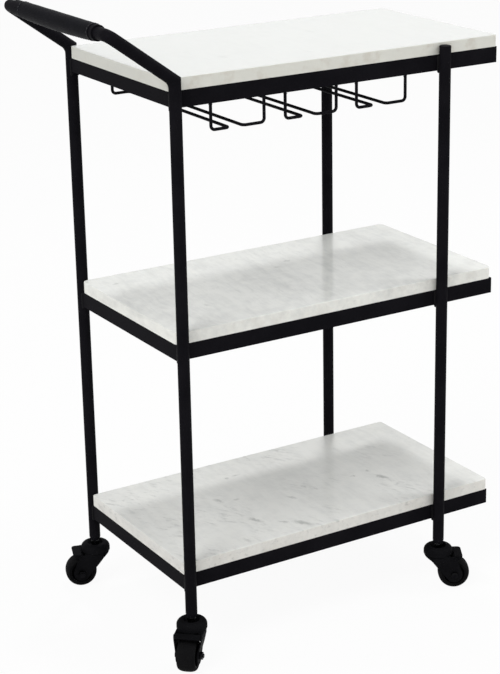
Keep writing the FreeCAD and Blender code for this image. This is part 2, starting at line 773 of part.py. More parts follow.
def make_fork(corner):
    fork = new_body("caster_fork_" + corner)
    outer = [("0", "fork_top_height"), ("fork_upper_outer - fork_corner_cut", "fork_top_height"),
             ("fork_upper_outer", "fork_top_height - fork_corner_cut"),
             ("fork_upper_outer", "fork_shoulder_height"), ("fork_lower_outer", "fork_waist_height"),
             ("fork_lower_outer", "0"), ("0", "0")]
    inner = [("0", "bridge_underside"), ("fork_upper_inner", "bridge_underside"),
             ("fork_upper_inner", "fork_shoulder_height"), ("fork_lower_inner", "fork_waist_height"),
             ("fork_lower_inner", "- fork_wall"), ("0", "- fork_wall")]
    flanks = new_sketch(fork, "YZ_Plane")
    draw_polygon(flanks, whole_section(outer))
    add_pad(fork, flanks, "fork_blank_length")
    front = new_sketch(fork, "YZ_Plane")
    draw_polygon(front, outer)
    add_revolution(fork, front, 180)
    wheel_space = new_sketch(fork, "YZ_Plane")
    draw_polygon(wheel_space, whole_section(inner))
    add_pocket(fork, wheel_space, ahead=True)
    front_space = new_sketch(fork, "YZ_Plane")
    draw_polygon(front_space, inner)
    add_groove(fork, front_space, 180)

    trim = new_sketch(fork, "XZ_Plane")
    draw_fork_outline(trim)
    draw_polygon(trim, [
        ("- cut_reach", "- cut_reach"), ("cut_reach", "- cut_reach"), ("cut_reach", "cut_reach"),
        ("- cut_reach", "cut_reach")])
    add_pocket(fork, trim)

    pedal_slot = new_sketch(fork, "XZ_Plane")
    draw_polygon(pedal_slot, [
        ("fork_pedal_slot_start", "bridge_underside - fork_bridge_thickness"),
        ("cut_reach", "bridge_underside - fork_bridge_thickness"),
        ("cut_reach", "fork_top_height + fork_bridge_thickness"),
        ("fork_pedal_slot_start", "fork_top_height + fork_bridge_thickness")])
    add_pocket(fork, pedal_slot, "fork_pedal_slot_width")

    king_hole = new_sketch(fork, "XY_Plane")
    draw_circle(king_hole, "king_bore")
    add_pocket(fork, king_hole)
    side_holes = new_sketch(fork, "XZ_Plane")
    draw_circle(side_holes, "axle_bore", "caster_trail", "wheel_radius")
    draw_circle(side_holes, "pin_bore", "pedal_pin_trail", "pin_height")
    add_pocket(fork, side_holes)
    return fork


# A sketch whose upright axis is the wheel's axle line
def axle_sketch(body):
    return new_sketch(body, "XY_Plane", ("caster_trail", "0", "wheel_radius"))


def turn_on_axle(label, corners):
    piece = new_body(label)
    section = axle_sketch(piece)
    draw_polygon(section, corners)
    add_revolution(piece, section)
    return piece


def make_hub(corner):
    side = [("axle_bore", "boss_half"), ("boss_radius", "boss_half"), ("boss_radius", "web_half"),
            ("rim_inner", "web_half"), ("rim_inner", "rim_half"), ("rim_outer", "rim_half")]
    other_side = [(x, opposite(y)) for x, y in reversed(side)]
    return turn_on_axle("wheel_hub_" + corner, side + other_side)


def make_tyre(corner):
    tyre = turn_on_axle("tyre_" + corner, [
        ("rim_outer", "- wheel_half"), ("wheel_radius", "- wheel_half"), ("wheel_radius", "wheel_half"),
        ("rim_outer", "wheel_half")])
    tread_radius = number("wheel_radius")
    add_fillet(tyre, "tyre_shoulder_radius", lambda edge: is_ring(edge, tread_radius))
    return tyre


def make_axle(corner):
    bolt = turn_on_axle("bolt_" + corner, [
        ("0", "- head_face"), ("head_radius", "- head_face"), ("head_radius", "- fork_lower_outer"),
        ("axle_radius", "- fork_lower_outer"), ("axle_radius", "bolt_end"), ("0", "bolt_end")])
    nut = new_body("nut_" + corner)
    section = new_sketch(nut, "XZ_Plane", ("caster_trail", "wheel_radius", "- fork_lower_outer"))
    draw_hexagon(section, "nut_corner", "nut_half_corner", "nut_half")
    draw_circle(section, "nut_bore")
    add_pad(nut, section, "nut_height", reverse=True)
    return make_group("axle_bolt_" + corner, [bolt, nut])


# Pressed pedal: a wedge open underneath, with its shoe at the low end of the sloping nose
def make_pedal(corner):
    pedal = new_body("brake_pedal_" + corner)
    wedge = new_sketch(pedal, "XZ_Plane")
    draw_polygon(wedge, [
        ("pedal_back_x", "pin_height"), ("pedal_back_x", "pedal_back_top"),
        ("pedal_back_corner", "pedal_top"), ("pedal_tip", "pedal_top"), ("pedal_tip", "pedal_nose"),
        ("shoe_end", "shoe_height"), ("shoe_start", "shoe_height"), ("pedal_pin_trail", "pin_height")])
    add_pad(pedal, wedge, "pedal_width", symmetric=True)
    tip, top = number("pedal_tip"), number("pedal_top")
    add_fillet(pedal, "pedal_corner_radius", lambda edge: is_upright(edge) and all(
        near(corner.X, tip) for corner in edge.Vertexes))
    hollow = new_sketch(pedal, "XZ_Plane")
    draw_polygon(hollow, [
        ("hollow_start", "hollow_floor"), ("shoe_start", "hollow_floor"), ("shoe_start", "shoe_height"),
        ("hollow_tip", "hollow_top"), ("hollow_start", "hollow_top")])
    add_pocket(pedal, hollow, "pedal_hollow_width")
    add_fillet(pedal, "pedal_nose_radius", lambda edge: all(
        near(corner.X, tip) and near(corner.Z, top) for corner in edge.Vertexes))
    for radius, length in (("pedal_hub_radius", "pedal_width"), ("pin_radius", "pin_length")):
        barrel = new_sketch(pedal, "XZ_Plane")
        draw_circle(barrel, radius, "pedal_pin_trail", "pin_height")
        add_pad(pedal, barrel, length, symmetric=True)
    return pedal


def make_caster(corner, x, y):
    pieces = [make_fork(corner), make_hub(corner), make_tyre(corner), make_axle(corner), make_pedal(corner)]
    for piece in pieces:
        place_piece(piece, x, y, "0", "swivel_" + corner)
    return [make_stem(corner, x, y), make_dome(corner, x, y), *pieces]


# The whole cart
def make_cart():
    corners = {
        "front_left": ("left_leg_x", "- leg_y"), "back_left": ("left_leg_x", "leg_y"),
        "front_right": ("right_leg_x", "- leg_y"), "back_right": ("right_leg_x", "leg_y")}
    pieces = []
    for tier in ("top", "middle", "bottom"):
        pieces.append(make_slab(tier))
        pieces.extend(make_tier_frame(tier))
    for corner, (x, y) in corners.items():
        if "left" in corner:
            pieces.append(make_mitred_leg(corner + "_leg", x, y))
        else:
            pieces.append(make_leg(corner + "_leg", x, y, "right_tube_length"))
    pieces.append(make_handle())
    pieces.append(make_ring_along_bar(
        "grip_sleeve", "sleeve_radius", "tube_radius", "sleeve_length", "sleeve_y"))
    pieces.append(make_ring_along_bar(
        "leather_grip", "leather_radius", "sleeve_radius", "leather_length", "leather_y"))
    pieces.append(make_group("leg_caps", [
        make_leg_cap("cap_" + corner, y) for corner, (x, y) in corners.items() if "right" in corner]))
    pieces.append(make_group("leg_inserts", [
        make_leg_insert("insert_" + corner, x, y) for corner, (x, y) in corners.items()]))
    for channel in range(3):
        for place, side in enumerate((-1, 1)):
            label = "stem_wire_%d" % (2 * channel + place + 1)
            pieces.append(make_stem_wire(label, channel - 1, side))
    balls = []
    for corner, (x, y) in corners.items():
        pieces.extend(make_caster(corner, x, y))
        balls.extend(make_balls(corner, x, y))
    pieces.append(make_group("bearing_balls", balls))
    return pieces


def check_document(pieces):
    for item in doc.Objects:
        if "Invalid" in item.State or "Error" in item.State:
            raise RuntimeError(item.Label + " failed: " + str(item.State))
    for piece in pieces:
        if piece.Shape.isNull() or not piece.Shape.isValid():
            raise RuntimeError(piece.Label + " has no valid shape")


fill_sheet()
cart = make_cart()
doc.recompute()
check_document(cart)
os.makedirs("parts", exist_ok=True)
for piece in cart:
    piece.Shape.exportStep("parts/" + piece.Label + ".step")
print(len(cart), "sub-parts written")
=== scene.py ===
import bpy
import bmesh
import json
import math
from mathutils import Matrix, Vector, noise


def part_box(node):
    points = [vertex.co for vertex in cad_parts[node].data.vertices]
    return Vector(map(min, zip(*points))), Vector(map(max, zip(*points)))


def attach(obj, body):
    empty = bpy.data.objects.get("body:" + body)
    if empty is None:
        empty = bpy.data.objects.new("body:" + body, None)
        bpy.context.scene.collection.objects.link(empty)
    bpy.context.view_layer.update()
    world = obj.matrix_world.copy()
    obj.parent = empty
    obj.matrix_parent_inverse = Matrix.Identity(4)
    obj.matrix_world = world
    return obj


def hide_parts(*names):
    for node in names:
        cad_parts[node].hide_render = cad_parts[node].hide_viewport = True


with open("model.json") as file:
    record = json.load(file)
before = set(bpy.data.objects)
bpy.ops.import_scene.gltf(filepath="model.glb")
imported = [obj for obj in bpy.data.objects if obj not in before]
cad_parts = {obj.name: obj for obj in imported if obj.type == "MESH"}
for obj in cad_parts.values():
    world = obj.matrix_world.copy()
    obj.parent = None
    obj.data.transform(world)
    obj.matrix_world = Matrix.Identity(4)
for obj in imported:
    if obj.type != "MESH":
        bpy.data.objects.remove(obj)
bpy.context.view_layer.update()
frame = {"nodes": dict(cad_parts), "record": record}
nodes = frame["nodes"]
joints = {joint["name"]: joint for joint in frame["record"]["behaviour"]["joints"]}
corners = ("front_left", "back_left", "front_right", "back_right")
tiers = ("top", "middle", "bottom")
mm = 0.001
print("frame loaded with", len(nodes), "nodes")


# Shader sums

class Flow:                                  # one socket that Python's operators work on
    def __init__(self, finish, socket):
        self.finish = finish
        self.socket = socket

    def by(self, operation, *terms, clamp=False):
        settings = {"operation": operation, "use_clamp": clamp}
        return self.finish.node("Math", settings, dict(enumerate(terms)))

    def __add__(self, other):
        return self.by("ADD", self, other)

    def __radd__(self, other):
        return self.by("ADD", other, self)

    def __sub__(self, other):
        return self.by("SUBTRACT", self, other)

    def __rsub__(self, other):
        return self.by("SUBTRACT", other, self)

    def __mul__(self, other):
        return self.by("MULTIPLY", self, other)

    def __rmul__(self, other):
        return self.by("MULTIPLY", other, self)

    def __abs__(self):
        return self.by("ABSOLUTE", self)

    def step(self, low, high):               # soft step from 0 at low to 1 at high
        return self.finish.node("MapRange", {"interpolation_type": "SMOOTHSTEP"},
                                {"Value": self, "From Min": low, "From Max": high})


class Finish:                                # the nodes of one material or of the world
    def __init__(self, owner):
        owner.use_nodes = True
        self.owner = owner
        self.tree = owner.node_tree
        self.tree.nodes.clear()

    def node(self, kind, settings=None, inputs=None, output=0):
        made = self.tree.nodes.new("ShaderNode" + kind)
        for key, value in (settings or {}).items():
            setattr(made, key, value)
        for key, value in (inputs or {}).items():
            if isinstance(value, Flow):
                self.tree.links.new(value.socket, made.inputs[key])
            else:
                made.inputs[key].default_value = value
        return Flow(self, made.outputs[output]) if made.outputs else None

    def place(self):                         # the point's own place in the cart's frame, in metres
        return self.node("TexCoord", output="Object")

    def cloud(self, vector, scale, detail=2.0, roughness=0.5, output=0):
        return self.node("TexNoise", inputs={
            "Vector": vector, "Scale": scale, "Detail": detail, "Roughness": roughness}, output=output)

    def mix(self, factor, first, second, blend="MIX"):
        return self.node("Mix", {"data_type": "RGBA", "blend_type": blend},
                         {0: factor, 6: first, 7: second}, output=2)

    def vector(self, operation, *terms, output=0):
        return self.node("VectorMath", {"operation": operation}, dict(enumerate(terms)), output)

    def along(self, place, direction):       # how far the point lies along a direction
        return self.vector("DOT_PRODUCT", place, direction, output="Value")

    def join(self, x, y, z):
        return self.node("CombineXYZ", inputs={"X": x, "Y": y, "Z": z})

    def relief(self, height, strength, distance):
        return self.node("Bump", inputs={"Height": height, "Strength": strength, "Distance": distance})

    def surface(self, inputs):
        self.show(self.node("BsdfPrincipled", inputs=inputs))

    def show(self, shader):
        kind = "OutputWorld" if isinstance(self.owner, bpy.types.World) else "OutputMaterial"
        self.node(kind, inputs={"Surface": shader})


def newFinish(name):
    return Finish(bpy.data.materials.new(name))


# Polished marble, one look for each slab

marbleLook = {
    "grey": (0.50, 0.512, 0.505, 1), "fleckGrey": (0.30, 0.31, 0.30, 1), "sawn": (0.26, 0.26, 0.25, 1),
    "stain": (0.48, 0.43, 0.36, 1), "stainShare": 0.36, "stainAway": 0.3, "stainScale": 38,
    "stainStep": (0.46, 0.68), "sideStep": (0.35, 0.85), "faceStep": (0.5, 0.9),
    "polish": 0.13, "sideRoughness": 0.34, "sawnRoughness": 0.75, "roughnessSpread": 0.06,
    "grainScale": 900, "grain": 0.05, "grainDepth": 0.2 * mm,
    "glow": 0.12, "glowRadius": (1.0, 0.95, 0.85), "glowDepth": 2.5 * mm,
    "warpScale": 14, "cloudScale": 7, "cloudWeight": 0.4, "mottleScale": 48, "mottleWeight": 0.45,
    "veinWidth": 0.022, "veinPatch": (0.42, 0.60), "veinWeight": 0.35,
    "patchScale": 9, "patchStep": (0.36, 0.60), "spotStep": (0.50, 0.78),
    "ragged": 8 * mm, "raggedScale": 140,
    "markLong": 0.60, "markWide": 0.14, "markLeast": 2.2, "markDeep": 100, "markFade": 1.15,
    "layers": {                              # noise drawn out along the grain
        "fine": {"warp": 0.02, "stretch": 0.14, "scale": 90, "detail": 6, "roughness": 0.66,
                 "level": 0.40, "weight": 0.55},
        "broad": {"warp": 0.05, "stretch": 0.35, "scale": 16, "detail": 4, "roughness": 0.55,
                  "level": 0.45, "weight": 0.9},
        "seam": {"warp": 0.09, "stretch": 0.30, "scale": 9, "detail": 2, "roughness": 0.5},
        "spots": {"warp": 0.006, "stretch": 0.30, "scale": 150, "detail": 4, "roughness": 0.65}},
    # marks: x, y and length in mm, turn in degrees, strength
    "top": {"turn": -5, "fleckTurn": -5, "streak": 0.40, "cloud": 0.15, "vein": 0.10, "fleck": 0.05,
            "stain": 1.0, "refraction": 1.21,
            # the top slab's white is darker than the lower slabs' white: painted shade that offsets the
            # stronger light on the top tier
            "white": (0.672, 0.684, 0.666, 1), "edge": (1.0, 0.98, 0.925, 1),
            "marks": [(-90, -60, 26, -80, 0.12), (120, 40, 30, -85, 0.10), (30, -95, 22, -75, 0.10)]},
    "middle": {"turn": -5.5, "fleckTurn": -5.5, "streak": 1.60, "cloud": 0.55, "vein": 0.34,
               "fleck": 0.18, "stain": 0.35, "refraction": 1.20,
               "white": (0.815, 0.824, 0.794, 1), "edge": (1.0, 0.99, 0.97, 1),
               "marks": [(85, 59, 13, -8, 0.50), (-192, 105, 14, 17, 0.35), (-128, -64, 15, -79, 0.30),
                         (55, 38, 14, -16, 0.30)]},
    "bottom": {"turn": -2, "fleckTurn": 28, "streak": 1.1, "cloud": 0.34, "vein": 0.20, "fleck": 0.48,
               "stain": 0.35, "refraction": 1.15,
               "white": (0.812, 0.817, 0.789, 1), "edge": (0.96, 0.94, 0.92, 1),
               "marks": [(196, -49, 31, -66, 0.70), (-6, -126, 38, -60, 0.62), (-62, -76, 30, -70, 0.60),
                         (-29, -106, 17, -47, 0.50), (-73, 17, 22, -72, 0.45), (30, -37, 20, -61, 0.42),
                         (69, -11, 16, -92, 0.40), (81, -29, 13, -60, 0.35), (158, -21, 8, -34, 0.50),
                         (190, -16, 12, -57, 0.45), (-18, 86, 10, -45, 0.50), (1, 88, 14, 1, 0.45),
                         (-47, 6, 13, -20, 0.40), (200, -86, 12, 10, 0.30),
                         (-109, -131, 22, -73, 0.32), (-198, 101, 9, -17, 0.28),
                         (-150, -30, 18, -62, 0.22), (250, 20, 16, -62, 0.22)]},
}


def marbleLayer(finish, place, name, degrees, warp):   # the grain lies level, turned by the degrees
    layer = marbleLook["layers"][name]
    turn = math.radians(degrees)
    across = finish.along(place, (math.cos(turn), math.sin(turn), 0))
    onward = finish.along(place, (math.sin(turn), -math.cos(turn), 0))
    height = finish.along(place, (0, 0, 1))
    drawn = finish.join(across + layer["warp"] * warp, layer["stretch"] * onward, height)
    return finish.cloud(drawn, layer["scale"], layer["detail"], layer["roughness"])


def marbleShade(finish, place, look, broad, warp):     # how grey the stone is, without its flecks
    layers = marbleLook["layers"]
    fine = marbleLayer(finish, place, "fine", look["turn"], warp)
    seam = marbleLayer(finish, place, "seam", look["turn"], warp)
    mottle = finish.cloud(place, marbleLook["mottleScale"], 4, 0.6)
    clouds = finish.cloud(place, marbleLook["cloudScale"], 4, 0.55)
    veins = 1 - abs(seam - 0.5).step(0.0, marbleLook["veinWidth"])
    veins = veins * clouds.step(*marbleLook["veinPatch"])
    shade = (fine - layers["fine"]["level"]) * (layers["fine"]["weight"] * look["streak"])
    shade = shade + (broad - layers["broad"]["level"]) * (layers["broad"]["weight"] * look["cloud"])
    shade = shade + veins * (marbleLook["veinWeight"] * look["vein"])
    shade = shade + (mottle - 0.5) * (marbleLook["mottleWeight"] * look["streak"])
    drift = (clouds - 0.5) * (marbleLook["cloudWeight"] * look["cloud"])
    return shade.by("ADD", shade, drift, clamp=True)


def marbleFlecks(finish, place, look, warp):           # small spots in patches, then single dark marks
    spots = marbleLayer(finish, place, "spots", look["fleckTurn"], warp)
    patch = finish.cloud(place, marbleLook["patchScale"], 2).step(*marbleLook["patchStep"])
    flecks = spots.step(*marbleLook["spotStep"]) * patch * look["fleck"]
    ragged = marbleLook["ragged"]
    tatters = finish.cloud(place, marbleLook["raggedScale"], 5, 0.70, output=1)
    frayed = finish.vector("MULTIPLY_ADD", tatters, (2 * ragged, 2 * ragged, 0),
                           finish.vector("SUBTRACT", place, (ragged, ragged, 0)))
    for x, y, length, degrees, strength in look["marks"]:
        long = marbleLook["markLong"] * length
        wide = marbleLook["markWide"] * length + marbleLook["markLeast"]
        spot = finish.node("Mapping", {"vector_type": "TEXTURE"}, {
            "Vector": frayed, "Location": (x * mm, y * mm, 0), "Rotation": (0, 0, math.radians(degrees)),
            "Scale": (long * mm, wide * mm, marbleLook["markDeep"])})
        reach = finish.vector("LENGTH", spot, output="Value")
        flecks = flecks.by("MAXIMUM", flecks, (1 - reach.step(0.0, marbleLook["markFade"])) * strength)
    return flecks


def marbleFinish(tier):
    look = marbleLook[tier]
    finish = newFinish(tier + "Marble")
    place = finish.place()
    warp = finish.cloud(place, marbleLook["warpScale"], 3) - 0.5
    broad = marbleLayer(finish, place, "broad", look["turn"], warp)

    outward = finish.node("TexCoord", output="Normal")
    facing = finish.along(outward, (0, 0, 1))
    side = 1 - abs(facing).step(*marbleLook["sideStep"])
    under = (0 - facing).step(*marbleLook["faceStep"])   # the sawn face that lies on the rails
    front = finish.along(outward, (0, -1, 0)).step(*marbleLook["faceStep"])
    away = marbleLook["stainAway"]                       # share of stain on the other three edges
    stains = finish.cloud(place, marbleLook["stainScale"], 4, 0.6).step(*marbleLook["stainStep"])
    stains = stains * side * look["stain"] * (away + (1 - away) * front)

    shade = marbleShade(finish, place, look, broad, warp)
    # each slab's white; the top slab's is darkened as painted shade against the stronger light it gets
    colour = finish.mix(shade, look["white"], marbleLook["grey"])
    colour = finish.mix(marbleFlecks(finish, place, look, warp), colour, marbleLook["fleckGrey"])
    colour = finish.mix(side, colour, look["edge"], "MULTIPLY")
    colour = finish.mix(stains * marbleLook["stainShare"], colour, marbleLook["stain"])
    colour = finish.mix(under, colour, marbleLook["sawn"])
    polish = marbleLook["polish"]
    roughness = polish + side * (marbleLook["sideRoughness"] - polish)
    roughness = roughness + under * (marbleLook["sawnRoughness"] - polish)
    grains = finish.cloud(place, marbleLook["grainScale"], 2)
    finish.surface({
        "Base Color": colour,
        "Roughness": roughness + (broad - 0.5) * marbleLook["roughnessSpread"],
        "Normal": finish.relief(grains, marbleLook["grain"], marbleLook["grainDepth"]),
        "IOR": look["refraction"],
        "Subsurface Weight": marbleLook["glow"], "Subsurface Radius": marbleLook["glowRadius"],
        "Subsurface Scale": marbleLook["glowDepth"],
    })
    return finish.owner


# Coatings, steel, rubber and plastic

coatLook = {
    "grain": {"driftScale": 22, "driftStep": (0.30, 0.72), "driftShare": 0.6, "speckleScale": 420,
              "speckleStep": (0.45, 0.75), "speckleSpread": 0.10, "peelDepth": 0.12 * mm},
    "framePaint": {"dark": (0.0056, 0.0053, 0.0068, 1), "pale": (0.0092, 0.0087, 0.0108, 1),
                   "roughness": 0.42, "spread": 0.22, "gloss": 0.008, "peel": 0.16, "peelScale": 950},
    "casterPaint": {"dark": (0.0054, 0.0054, 0.0062, 1), "pale": (0.0090, 0.0090, 0.0102, 1),
                    "roughness": 0.46, "spread": 0.18, "gloss": 0.006, "peel": 0.08, "peelScale": 700},
    "weldPaint": {"dark": (0.0055, 0.0055, 0.0062, 1), "pale": (0.0105, 0.0100, 0.0115, 1),
                  "roughness": 0.36, "spread": 0.20, "gloss": 0.06, "peel": 0.10, "peelScale": 1300},
    "hubPlastic": {"dark": (0.0054, 0.0054, 0.0060, 1), "pale": (0.0088, 0.0088, 0.0094, 1),
                   "roughness": 0.42, "spread": 0.14, "gloss": 0.010, "peel": 0.10, "peelScale": 1600},
    "tyreRubber": {"dark": (0.0066, 0.0066, 0.0071, 1), "pale": (0.0118, 0.0116, 0.0120, 1),
                   "roughness": 0.60, "spread": 0.16, "gloss": 0.012, "peel": 0.22, "peelScale": 1900},
}


def coatFinish(name):
    look = coatLook[name]
    grain = coatLook["grain"]
    finish = newFinish(name)
    place = finish.place()
    drift = finish.cloud(place, grain["driftScale"], 4, 0.55)
    speckle = finish.cloud(place, grain["speckleScale"], 3, 0.6)
    peel = finish.cloud(place, look["peelScale"], 2)
    tone = drift.step(*grain["driftStep"]) * grain["driftShare"]
    tone = tone + speckle.step(*grain["speckleStep"]) * (1 - grain["driftShare"])
    roughness = look["roughness"] + (drift - 0.5) * look["spread"]
    finish.surface({
        "Base Color": finish.mix(tone, look["dark"], look["pale"]),
        "Roughness": roughness + (speckle - 0.5) * grain["speckleSpread"],
        "Specular IOR Level": look["gloss"],
        "Normal": finish.relief(peel, look["peel"], grain["peelDepth"]),
    })
    return finish.owner


steelLook = {
    "grain": {"turnedScale": 2600, "stretch": 0.2, "turned": 0.12, "turnedDepth": 0.08 * mm,
              "blushScale": 130, "blushStep": (0.3, 0.75), "blushSpread": 0.2},
    "boltSteel": {"dark": (0.005, 0.005, 0.006, 1), "pale": (0.011, 0.011, 0.012, 1),
                  "roughness": 0.36},
    "stemSteel": {"dark": (0.050, 0.050, 0.052, 1), "pale": (0.160, 0.160, 0.164, 1),
                  "roughness": 0.20},
}


def steelFinish(name):
    look = steelLook[name]
    grain = steelLook["grain"]
    finish = newFinish(name)
    place = finish.place()
    rings = finish.join(                     # turning marks run round an upright axis
        finish.along(place, (1, 0, 0)) * grain["stretch"],
        finish.along(place, (0, 1, 0)) * grain["stretch"], finish.along(place, (0, 0, 1)))
    turned = finish.cloud(rings, grain["turnedScale"], 3)
    blush = finish.cloud(place, grain["blushScale"], 3)
    finish.surface({
        "Base Color": finish.mix(blush.step(*grain["blushStep"]), look["dark"], look["pale"]),
        "Metallic": 1.0,
        "Roughness": look["roughness"] + (blush - 0.5) * grain["blushSpread"],
        "Normal": finish.relief(turned, grain["turned"], grain["turnedDepth"]),
    })
    return finish.owner


leatherLook = {
    "dark": (0.0030, 0.0030, 0.0042, 1), "pale": (0.0066, 0.0066, 0.0088, 1), "gloss": 0.014,
    "bendScale": 300, "bend": 0.9 * mm, "pebbleScale": 780, "pebbleSoft": 0.5, "pebbleStep": (0.2, 0.8),
    "pebbleHeight": 0.75, "pebbleLevel": 0.4, "pebbleSpread": 0.12, "creaseScale": 160,
    "creaseHeight": 0.5, "rubScale": 34, "rubStep": (0.30, 0.70), "rubShare": 0.55, "rubSpread": 0.20,
    "roughness": 0.44, "grain": 0.34, "grainDepth": 0.35 * mm,
}


def leatherFinish():
    look = leatherLook
    finish = newFinish("gripLeather")
    place = finish.place()
    bend = finish.cloud(place, look["bendScale"], 2, output=1)
    nudged = finish.vector("MULTIPLY_ADD", bend, (look["bend"], look["bend"], look["bend"]), place)
    pebble = finish.node("TexVoronoi", {"feature": "SMOOTH_F1"}, {
        "Vector": nudged, "Scale": look["pebbleScale"], "Smoothness": look["pebbleSoft"]})
    crease = finish.cloud(place, look["creaseScale"], 4, 0.6)
    rub = finish.cloud(place, look["rubScale"], 3)
    grain = (1 - pebble) * look["pebbleHeight"] + crease * look["creaseHeight"]
    tone = rub.step(*look["rubStep"]) * look["rubShare"]
    tone = tone + (1 - pebble).step(*look["pebbleStep"]) * (1 - look["rubShare"])
    roughness = look["roughness"] + (rub - 0.5) * look["rubSpread"]
    finish.surface({
        "Base Color": finish.mix(tone, look["dark"], look["pale"]),
        "Roughness": roughness + (pebble - look["pebbleLevel"]) * look["pebbleSpread"],
        "Specular IOR Level": look["gloss"],
        "Normal": finish.relief(grain, look["grain"], look["grainDepth"]),
    })
    return finish.owner


threadLook = {
    "dark": (0.012, 0.012, 0.014, 1), "pale": (0.045, 0.044, 0.050, 1), "twistScale": 1500,
    "twistWander": 0.6, "twistShare": 0.6, "twist": 0.3, "twistDepth": 0.1 * mm, "waxScale": 500,
    "roughness": 0.5, "waxSpread": 0.2,
}


def threadFinish():
    look = threadLook
    finish = newFinish("waxedThread")
    place = finish.place()
    twist = finish.node("TexWave", {"wave_type": "BANDS", "bands_direction": "DIAGONAL"}, {
        "Vector": place, "Scale": look["twistScale"], "Distortion": look["twistWander"]})
    wax = finish.cloud(place, look["waxScale"], 2)
    tone = twist * look["twistShare"] + wax * (1 - look["twistShare"])
    finish.surface({
        "Base Color": finish.mix(tone, look["dark"], look["pale"]),
        "Roughness": look["roughness"] + (wax - 0.5) * look["waxSpread"],
        "Normal": finish.relief(twist, look["twist"], look["twistDepth"]),
    })
    return finish.owner


finishes = {                                 # by material slot, or by node where one differs
    "frame_paint": coatFinish("framePaint"), "caster_paint": coatFinish("casterPaint"),
    "hub_plastic": coatFinish("hubPlastic"), "tyre_rubber": coatFinish("tyreRubber"),
    "bolt_steel": steelFinish("boltSteel"), "grip_leather": leatherFinish(),
}
weldPaint = coatFinish("weldPaint")
waxedThread = threadFinish()
stemSteel = steelFinish("stemSteel")
for corner in corners:
    finishes["caster_stem_" + corner] = stemSteel
for tier in tiers:
    finishes[tier + "_slab"] = marbleFinish(tier)

for subpart in frame["record"]["subparts"]:
    name = subpart["node"]
    mesh = nodes[name].data
    mesh.materials.clear()
    mesh.materials.append(finishes.get(name) or finishes[subpart["material_slot"]])
print("finishes laid on the frame's nodes")


# Pieces modelled here

def addPiece(name, form, finish, body="frame"):
    mesh = bpy.data.meshes.new(name)
    bmesh.ops.recalc_face_normals(form, faces=form.faces)
    form.to_mesh(mesh)
    form.free()
    mesh.polygons.foreach_set("use_smooth", [True] * len(mesh.polygons))
    mesh.materials.append(finish)
    piece = bpy.data.objects.new(name, mesh)
    bpy.context.scene.collection.objects.link(piece)
    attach(piece, body)
    return piece


def addRings(form, rings, closeEnds=True):   # skins a row of equal rings of points
    rows = [[form.verts.new(point) for point in ring] for ring in rings]
    for row, following in zip(rows, rows[1:]):
        for i in range(len(row)):
            j = (i + 1) % len(row)
            form.faces.new((row[i], row[j], following[j], following[i]))
    if closeEnds:
        form.faces.new(rows[0])
        form.faces.new(rows[-1])
    return rows


def ringAround(centre, across, outward, reach, sides, flatten=1.0):
    turns = [math.tau * k / sides for k in range(sides)]
    return [centre + across * reach * math.cos(turn) + outward * reach * flatten * math.sin(turn)
            for turn in turns]


# Leather grip: a sewn sleeve with a folded hem at each end, drawn down to its seam on the underside

gripLook = {
    "around": 160, "along": 240, "lining": 0.02 * mm, "edgeRound": 0.50 * mm,
    "endSteps": [0, 0.08, 0.2, 0.35, 0.55, 0.9, 1.6, 2.4, 3.2, 3.7, 4.2, 4.6, 5.0, 5.6, 6.4],
    "endReach": 7.2 * mm,
    "hem": 4.6 * mm, "hemRise": 0.22 * mm, "hemFade": 0.6 * mm, "hemGroove": 0.22 * mm,
    "hemGrooveWidth": 0.5 * mm,
    "seamTurn": 262, "seamRise": 0.15 * mm, "seamWidth": 1.9 * mm, "seamGroove": 0.45 * mm,
    "seamGrooveWidth": 0.40 * mm,
    "drop": 2.6 * mm, "dropTurn": 0.62, "dropFade": 0.8,
    "slack": 0.16 * mm, "rippleScale": 55, "wrinkle": 0.5, "wrinkleScale": 3, "wrinkleTurn": 0.3,
}
gripLow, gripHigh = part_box("leather_grip")
sleeveLow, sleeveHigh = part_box("grip_sleeve")
barX = (gripLow.x + gripHigh.x) / 2
barZ = (gripLow.z + gripHigh.z) / 2
gripRadius = (gripHigh.z - gripLow.z) / 2
sleeveRadius = (sleeveHigh.z - sleeveLow.z) / 2


def bell(distance, width):
    return math.exp(-(distance / width) ** 2)


def gripPoint(turn, y, radius):
    return Vector((barX + radius * math.cos(turn), y, barZ + radius * math.sin(turn)))


def gripSurface(turn, y):                    # the leather's outer radius at a place on the sleeve
    look = gripLook
    fromEnd = min(y - gripLow.y, gripHigh.y - y)
    pastHem = fromEnd - look["hem"]
    seamAway = (turn - math.radians(look["seamTurn"]) + math.pi) % math.tau - math.pi
    arc = seamAway * gripRadius
    radius = gripRadius - look["hemRise"] - look["seamRise"]
    radius += look["hemRise"] * (1 - min(1, max(0, pastHem / look["hemFade"])))
    radius -= look["hemGroove"] * bell(pastHem, look["hemGrooveWidth"])
    radius += look["seamRise"] * bell(arc, look["seamWidth"])
    radius -= look["seamGroove"] * bell(arc, look["seamGrooveWidth"])
    share = (y - gripLow.y) / (gripHigh.y - gripLow.y)
    fullness = max(0.0, math.sin(math.pi * share)) ** look["dropFade"]
    radius += look["drop"] * fullness * bell(seamAway, look["dropTurn"])
    radius += look["slack"] * noise.noise(gripPoint(turn, y, gripRadius) * look["rippleScale"])
    wrinkle = Vector((barX, y, look["wrinkleTurn"] * turn)) * look["wrinkleScale"] * look["rippleScale"]
    radius += look["wrinkle"] * look["slack"] * noise.noise(wrinkle)
    rounding = max(0.0, 1 - fromEnd / look["edgeRound"])
    return radius - look["edgeRound"] * (1 - math.sqrt(max(0.0, 1 - rounding ** 2)))


